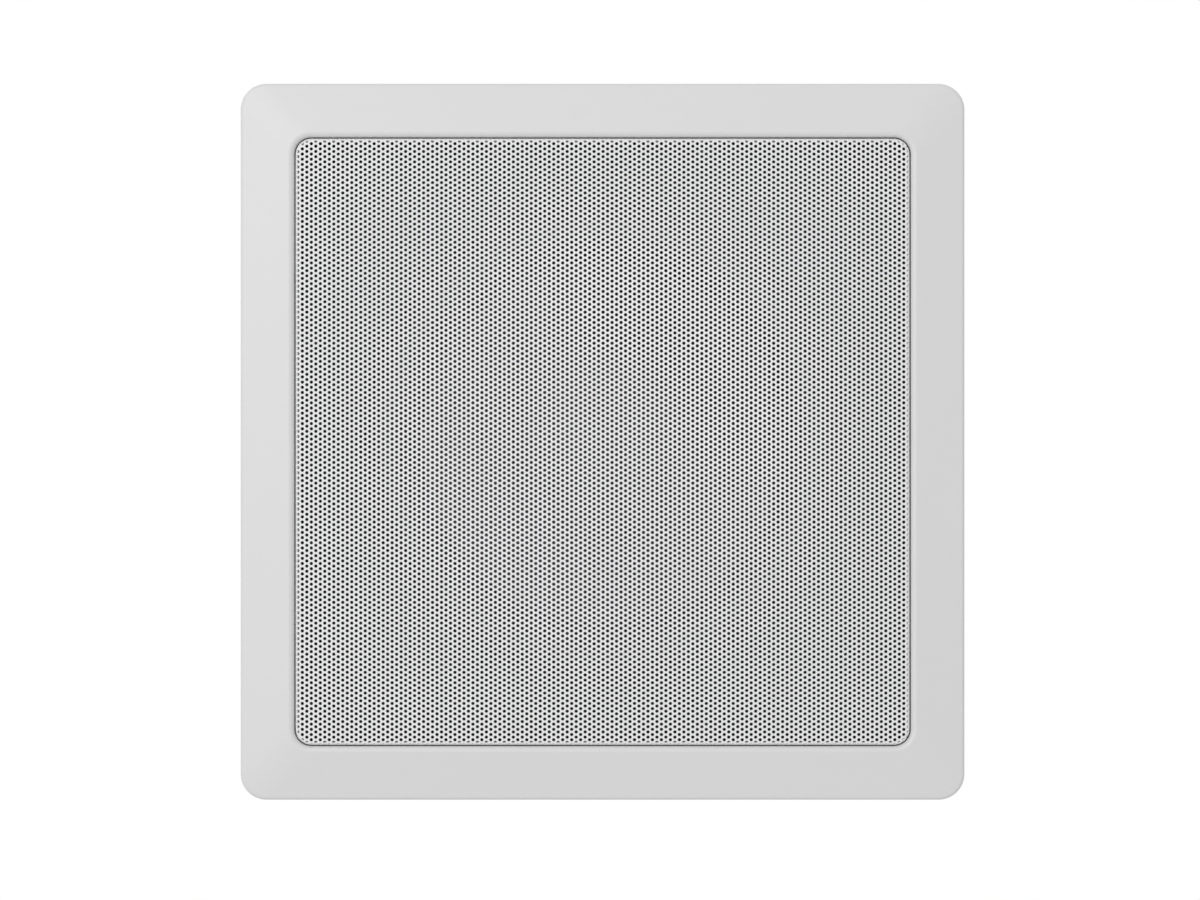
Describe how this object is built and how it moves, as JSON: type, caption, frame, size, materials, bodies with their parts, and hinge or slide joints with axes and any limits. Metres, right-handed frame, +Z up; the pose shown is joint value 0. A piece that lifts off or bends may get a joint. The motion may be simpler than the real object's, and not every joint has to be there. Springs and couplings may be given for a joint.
{
  "type": "in-ceiling subwoofer",
  "caption": "Square in-ceiling subwoofer with a white sloping trim frame, perforated grille, rear-mounted driver, push terminals and swinging clamp dogs.",
  "frame": {"origin": "centre of the ceiling cut-out, on the plane of the flange's back", "axes": "+X right and +Z up as the listener looks at the grille, +Y into the ceiling"},
  "size_m": [0.28, 0.1015, 0.277],
  "materials": {
    "white_moulding": "satin white moulding",
    "white_coated_steel": "white powder coat",
    "black_board": "black textured board",
    "black_casting": "black coated casting",
    "zinc_steel": "zinc plated",
    "black_steel": "black phosphate",
    "foam": "black foam",
    "black_rubber": "satin rubber",
    "black_pulp": "treated paper pulp",
    "cloth": "resin treated cloth",
    "former_film": "bare foil",
    "copper": "enamelled copper",
    "ferrite": "ground ferrite",
    "fibre": "fibre board",
    "brass_tag": "tinned brass",
    "black_nylon": "black nylon",
    "red_plastic": "red plastic",
    "red_vinyl": "red vinyl",
    "black_vinyl": "black vinyl"
  },
  "bodies": {
    "housing": {"trim_frame": "white_moulding", "grille": "white_coated_steel", "baffle": "black_board", "baffle_screws": "black_steel", "front_gasket": "foam", "basket": "black_casting", "driver_screws": "black_steel", "surround": "black_rubber", "spider": "cloth", "top_plate": "zinc_steel", "magnet": "ferrite", "yoke": "zinc_steel", "tag_strip": "fibre", "solder_tags": "brass_tag", "tinsel_leads": "copper", "terminal_block": "black_nylon", "terminal_screws": "zinc_steel", "lead_red": "red_vinyl", "lead_black": "black_vinyl", "lead_receptacles": "brass_tag"},
    "cone": {"cone": "black_pulp", "dust_cap": "black_pulp", "coil_former": "former_film", "coil_winding": "copper"},
    "tab_red": {"push_tab_red": "red_plastic"},
    "tab_black": {"push_tab_black": "black_nylon"},
    "screw_top_right": {"clamp_screw_top_right": "black_steel", "clamp_retainer_top_right": "zinc_steel"},
    "dog_top_right": {"clamp_dog_top_right": "black_nylon"},
    "screw_bottom_right": {"clamp_screw_bottom_right": "black_steel", "clamp_retainer_bottom_right": "zinc_steel"},
    "dog_bottom_right": {"clamp_dog_bottom_right": "black_nylon"},
    "screw_bottom_left": {"clamp_screw_bottom_left": "black_steel", "clamp_retainer_bottom_left": "zinc_steel"},
    "dog_bottom_left": {"clamp_dog_bottom_left": "black_nylon"},
    "screw_top_left": {"clamp_screw_top_left": "black_steel", "clamp_retainer_top_left": "zinc_steel"},
    "dog_top_left": {"clamp_dog_top_left": "black_nylon"}
  },
  "joints": [
    {"name": "cone_stroke", "type": "slide", "parent": "housing", "child": "cone", "axis": [0, -1, 0], "range_m": [-0.006, 0.006], "stiffness_N_per_m": 1500, "deforming": ["surround", "spider", "tinsel_leads"]},
    {"name": "push_red", "type": "slide", "parent": "housing", "child": "tab_red", "axis": [0, -1, 0], "range_m": [0, 0.003], "stiffness_N_per_m": 400, "springref_m": -0.001},
    {"name": "push_black", "type": "slide", "parent": "housing", "child": "tab_black", "axis": [0, -1, 0], "range_m": [0, 0.003], "stiffness_N_per_m": 400, "springref_m": -0.001},
    {"name": "swing_top_right", "type": "hinge", "parent": "housing", "child": "screw_top_right", "pos_m": [0.102, 0, 0.102], "axis": [0, 1, 0], "range_deg": [0, 90]},
    {"name": "draw_top_right", "type": "slide", "parent": "screw_top_right", "child": "dog_top_right", "axis": [0, -1, 0], "range_m": [0, 0.03]},
    {"name": "swing_bottom_right", "type": "hinge", "parent": "housing", "child": "screw_bottom_right", "pos_m": [0.102, 0, -0.102], "axis": [0, 1, 0], "range_deg": [0, 90]},
    {"name": "draw_bottom_right", "type": "slide", "parent": "screw_bottom_right", "child": "dog_bottom_right", "axis": [0, -1, 0], "range_m": [0, 0.03]},
    {"name": "swing_bottom_left", "type": "hinge", "parent": "housing", "child": "screw_bottom_left", "pos_m": [-0.102, 0, -0.102], "axis": [0, 1, 0], "range_deg": [0, 90]},
    {"name": "draw_bottom_left", "type": "slide", "parent": "screw_bottom_left", "child": "dog_bottom_left", "axis": [0, -1, 0], "range_m": [0, 0.03]},
    {"name": "swing_top_left", "type": "hinge", "parent": "housing", "child": "screw_top_left", "pos_m": [-0.102, 0, 0.102], "axis": [0, 1, 0], "range_deg": [0, 90]},
    {"name": "draw_top_left", "type": "slide", "parent": "screw_top_left", "child": "dog_top_left", "axis": [0, -1, 0], "range_m": [0, 0.03]}
  ]
}
